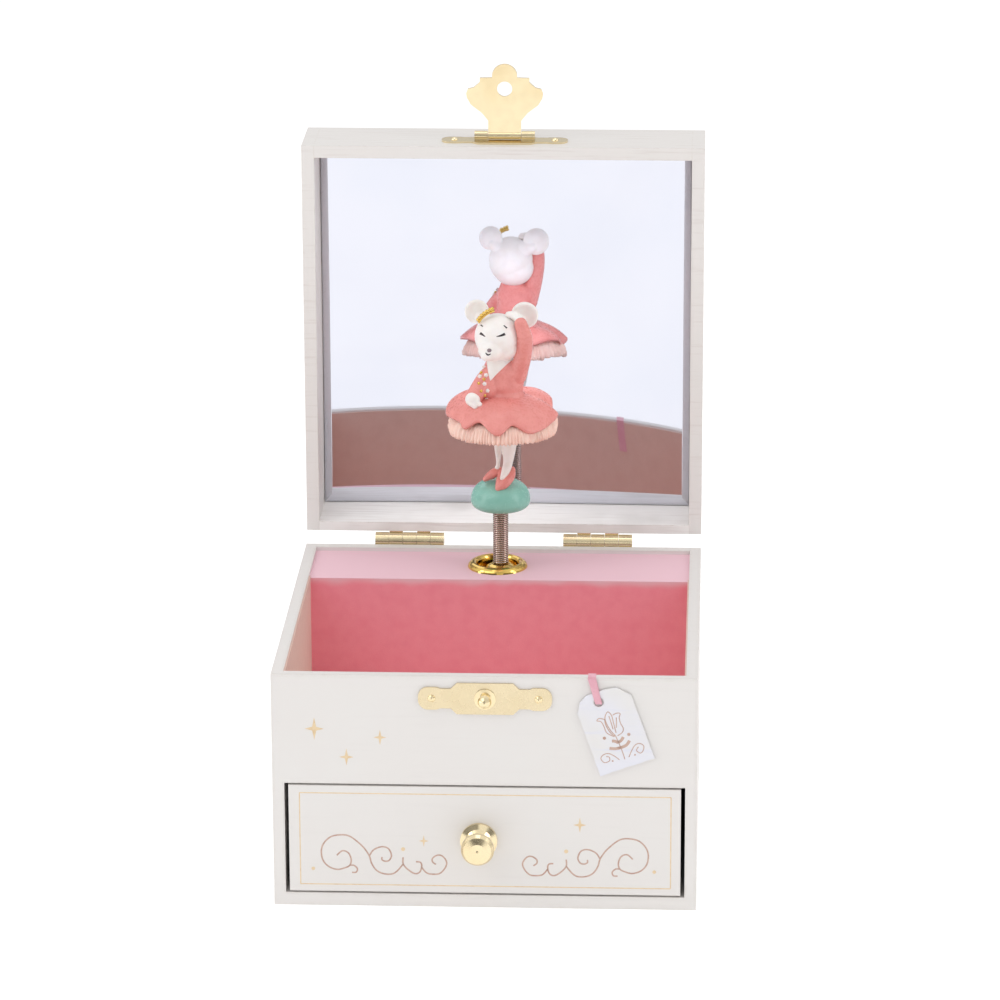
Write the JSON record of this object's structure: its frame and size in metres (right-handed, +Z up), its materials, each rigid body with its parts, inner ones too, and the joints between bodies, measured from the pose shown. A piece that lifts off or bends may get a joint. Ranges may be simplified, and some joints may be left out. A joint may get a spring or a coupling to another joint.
{
  "type": "musical jewellery box",
  "caption": "Square musical jewellery box with a mirrored hinged lid, lined tray, small drawer, gilt hasp and a mouse ballerina on a spring that turns to the music and folds under the lid.",
  "frame": {"origin": "middle of the flat underside of the box body", "axes": "+Z up, -Y out of the drawer front, +X to the right seen from the front"},
  "size_m": [0.112, 0.146, 0.2018],
  "materials": {
    "white_paper": "off-white pearly paper wrap printed with gold line ornament",
    "pink_card": "smooth pale pink paper over card",
    "pink_fabric": "fine deep pink fabric paper",
    "dusty_velvet": "dusty pink flocked lining",
    "mirror_glass": "float glass mirror, very slightly bowed",
    "gilt": "polished gold-coloured plating, lightly rubbed at the edges",
    "brass": "plain machined brass",
    "spring_steel": "bright drawn and ground steel",
    "cast_zinc": "dull die-cast zinc alloy",
    "turquoise_plastic": "glossy painted turquoise green",
    "coral_plastic": "satin painted coral",
    "peach_plastic": "satin painted pale peach, moulded as a ruffle",
    "cream_plastic": "satin cream white",
    "tag_paper": "pale lilac white card with a printed flower",
    "pink_ribbon": "narrow woven satin ribbon"
  },
  "bodies": {
    "case": {"bottom_panel": "white_paper", "side_wall_left": "white_paper", "side_wall_right": "white_paper", "back_wall": "white_paper", "front_wall": "white_paper", "tray_floor": "white_paper", "movement_screen": "pink_fabric", "movement_shelf": "pink_card", "tray_lining_floor": "dusty_velvet", "tray_lining_walls": "dusty_velvet", "spindle_ring": "gilt", "hinge_case_leaf_left": "gilt", "hinge_case_leaf_right": "gilt", "hinge_pins": "spring_steel", "case_nails": "gilt", "catch_plate": "gilt", "catch_stud": "gilt", "tag_ribbon_anchor": "pink_ribbon", "movement_bedplate": "cast_zinc", "movement_screws": "spring_steel", "comb": "spring_steel", "comb_screws": "brass"},
    "lid": {"lid_panel": "white_paper", "lid_side_left": "white_paper", "lid_side_right": "white_paper", "lid_front_rim": "white_paper", "lid_hinge_rim": "white_paper", "mirror": "mirror_glass", "hinge_lid_leaf_left": "gilt", "hinge_lid_leaf_right": "gilt", "hasp_base": "gilt", "hasp_pin": "spring_steel", "lid_nails": "gilt"},
    "hasp": {"hasp_flap": "gilt"},
    "drawer": {"drawer_front": "white_paper", "drawer_side_left": "white_paper", "drawer_side_right": "white_paper", "drawer_back": "white_paper", "drawer_bottom": "white_paper", "drawer_lining": "dusty_velvet", "drawer_knob": "gilt", "knob_screw": "spring_steel"},
    "tag": {"tag_card": "tag_paper", "tag_ribbon_loop": "pink_ribbon"},
    "cylinder": {"music_cylinder": "brass", "cylinder_arbor": "spring_steel", "cylinder_wheel": "brass", "spring_socket": "brass"},
    "idler": {"governor_idler": "brass"},
    "fly": {"governor_fly": "brass"},
    "barrel": {"spring_barrel": "brass"},
    "key": {"winding_arbor": "spring_steel", "winding_key": "gilt"},
    "spring_column": {"column_spring": "spring_steel"},
    "dancer": {"dancer_dome": "turquoise_plastic", "dancer_legs": "cream_plastic", "dancer_petticoat": "peach_plastic", "dancer_skirt": "coral_plastic", "dancer_torso": "coral_plastic", "dancer_head": "cream_plastic"}
  },
  "joints": [
    {"name": "lid_hinge", "type": "hinge", "parent": "case", "child": "lid", "pos_m": [0, 0.0589, 0.065], "axis": [1, 0, 0], "range_deg": [0, 90]},
    {"name": "hasp_hinge", "type": "hinge", "parent": "lid", "child": "hasp", "pos_m": [0.0003, 0.066, 0.1815], "axis": [1, 0, 0], "range_deg": [-70, 90]},
    {"name": "drawer_slide", "type": "slide", "parent": "case", "child": "drawer", "axis": [0, -1, 0], "range_m": [0, 0.062]},
    {"name": "tag_swing", "type": "hinge", "parent": "case", "child": "tag", "pos_m": [0.0283, -0.056, 0.0648], "axis": [1, 0, 0], "range_deg": [-110, 0]},
    {"name": "cylinder_turn", "type": "hinge", "parent": "case", "child": "cylinder", "pos_m": [0, 0.0406, 0.042], "axis": [0, 0, 1], "continuous": true},
    {"name": "idler_turn", "type": "hinge", "parent": "case", "child": "idler", "pos_m": [-0.01206, 0.0406, 0.045], "axis": [0, 0, 1], "continuous": true},
    {"name": "fly_turn", "type": "hinge", "parent": "case", "child": "fly", "pos_m": [-0.02212, 0.0406, 0.045], "axis": [0, 0, 1], "continuous": true},
    {"name": "barrel_turn", "type": "hinge", "parent": "case", "child": "barrel", "pos_m": [0, 0.047, 0.017], "axis": [0, 1, 0], "continuous": true},
    {"name": "winding_turn", "type": "hinge", "parent": "case", "child": "key", "pos_m": [0, 0.056, 0.017], "axis": [0, 1, 0], "continuous": true},
    {"name": "dancer_fold", "type": "hinge", "parent": "case", "child": "spring_column", "pos_m": [0, 0.0406, 0.066], "axis": [1, 0, 0], "range_deg": [0, 90], "deforming": ["column_spring"]},
    {"name": "dancer_spin", "type": "hinge", "parent": "spring_column", "child": "dancer", "pos_m": [0, 0.0406, 0.08], "axis": [0, 0, 1], "continuous": true}
  ],
  "couplings": [
    {"joint": "idler_turn", "follows": "cylinder_turn", "ratio": -3},
    {"joint": "fly_turn", "follows": "cylinder_turn", "ratio": 9},
    {"joint": "barrel_turn", "follows": "cylinder_turn", "ratio": -0.2963},
    {"joint": "dancer_spin", "follows": "cylinder_turn", "ratio": 1},
    {"joint": "dancer_fold", "follows": "lid_hinge", "ratio": 1}
  ]
}
